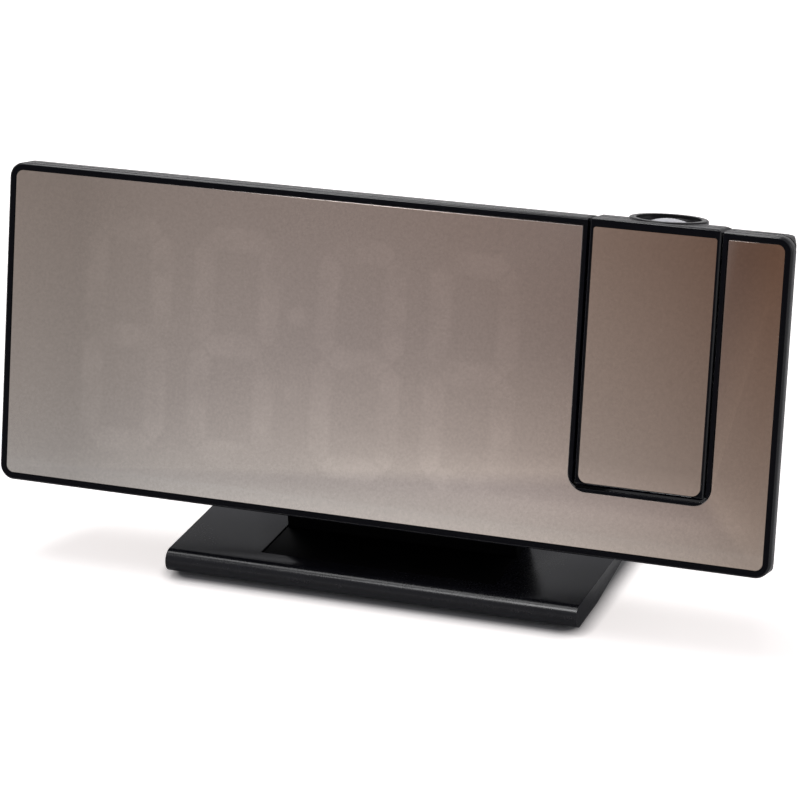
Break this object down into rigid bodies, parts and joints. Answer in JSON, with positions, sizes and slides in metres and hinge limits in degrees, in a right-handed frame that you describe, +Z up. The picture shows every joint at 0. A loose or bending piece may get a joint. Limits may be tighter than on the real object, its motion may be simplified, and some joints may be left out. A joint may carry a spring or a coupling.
{
  "type": "projection alarm clock",
  "caption": "Tilted mirror-faced digital alarm clock on a flat base, with a swinging projector arm and focusing lens in a bay at its right-hand end.",
  "frame": {"origin": "on the table, under the centre of the base's footprint, which is the centre of the whole object's box", "axes": "+X along the face to the viewer's right, -Y towards the viewer, +Z up"},
  "size_m": [0.19, 0.05, 0.0925],
  "materials": {
    "housing_black": "satin black moulded plastic",
    "neck_black": "fine matt black moulding",
    "base_black": "satin black moulding with a fine grain",
    "mirror": "half-silvered acrylic over a dark display",
    "white_plastic": "white diffusing plastic",
    "circuit_board": "solder-masked board",
    "steel": "plated steel",
    "inner_black": "matt black moulding",
    "ring_black": "satin black turned ring",
    "control_black": "matt black moulding",
    "lens": "clear optical plastic",
    "rubber": "matt rubber"
  },
  "bodies": {
    "clock": {"front_frame": "housing_black", "mirror_panel": "mirror", "diffuser_film": "white_plastic", "light_box": "white_plastic", "display_board": "circuit_board", "segment_lamps": "white_plastic", "board_screws": "steel", "rear_cover": "housing_black", "cover_screws": "steel", "tact_switches": "inner_black", "buzzer": "inner_black", "dc_socket": "inner_black", "usb_socket": "steel", "battery_holder": "inner_black", "battery_contact": "steel", "coin_cell": "steel", "pivot_sleeve": "steel", "friction_washer": "steel", "stand_neck": "neck_black", "neck_screws": "steel", "base_shell": "base_black", "base_weight": "steel", "base_tray": "inner_black", "base_screws": "steel", "foot_strips": "rubber"},
    "arm": {"arm_bezel": "housing_black", "arm_mirror": "mirror", "arm_shell": "housing_black", "arm_screws": "steel", "pivot_shaft": "steel", "shaft_clip": "steel", "optics_tube": "inner_black", "lamp_board": "circuit_board", "projector_lamp": "white_plastic", "condenser_lens": "lens", "image_slide": "inner_black"},
    "focus_ring": {"focus_ring": "ring_black", "ring_clip": "steel"},
    "lens": {"lens_barrel": "inner_black", "projection_lens": "lens"},
    "battery_door": {"battery_door": "control_black"},
    "button_mode": {"button_mode": "control_black"},
    "button_alarm": {"button_alarm": "control_black"},
    "button_down": {"button_down": "control_black"},
    "button_up": {"button_up": "control_black"},
    "button_snooze": {"button_snooze": "control_black"}
  },
  "joints": [
    {"name": "arm_swing", "type": "hinge", "parent": "clock", "child": "arm", "pos_m": [0.06375, -0.00419, 0.04234], "axis": [1, 0, 0], "range_deg": [-90, 90]},
    {"name": "focus_turn", "type": "hinge", "parent": "arm", "child": "focus_ring", "pos_m": [0.06375, 0.00644, 0.09009], "axis": [0, 0.247, 0.969], "range_deg": [0, 180]},
    {"name": "lens_focus", "type": "slide", "parent": "arm", "child": "lens", "axis": [0, 0.247, 0.969], "range_m": [-0.002, 0]},
    {"name": "battery_door_turn", "type": "hinge", "parent": "clock", "child": "battery_door", "pos_m": [-0.052, 0.01078, 0.04642], "axis": [0, 0.969, -0.247], "range_deg": [0, 90]},
    {"name": "button_mode_press", "type": "slide", "parent": "clock", "child": "button_mode", "axis": [0, -0.969, 0.247], "range_m": [0, 0.0006], "stiffness_N_per_m": 500},
    {"name": "button_alarm_press", "type": "slide", "parent": "clock", "child": "button_alarm", "axis": [0, -0.969, 0.247], "range_m": [0, 0.0006], "stiffness_N_per_m": 500},
    {"name": "button_down_press", "type": "slide", "parent": "clock", "child": "button_down", "axis": [0, -0.969, 0.247], "range_m": [0, 0.0006], "stiffness_N_per_m": 500},
    {"name": "button_up_press", "type": "slide", "parent": "clock", "child": "button_up", "axis": [0, -0.969, 0.247], "range_m": [0, 0.0006], "stiffness_N_per_m": 500},
    {"name": "button_snooze_press", "type": "slide", "parent": "clock", "child": "button_snooze", "axis": [0, -0.969, 0.247], "range_m": [0, 0.0006], "stiffness_N_per_m": 500}
  ],
  "couplings": [
    {"joint": "focus_turn", "follows": "lens_focus", "rad_per_m": -1570.8}
  ]
}
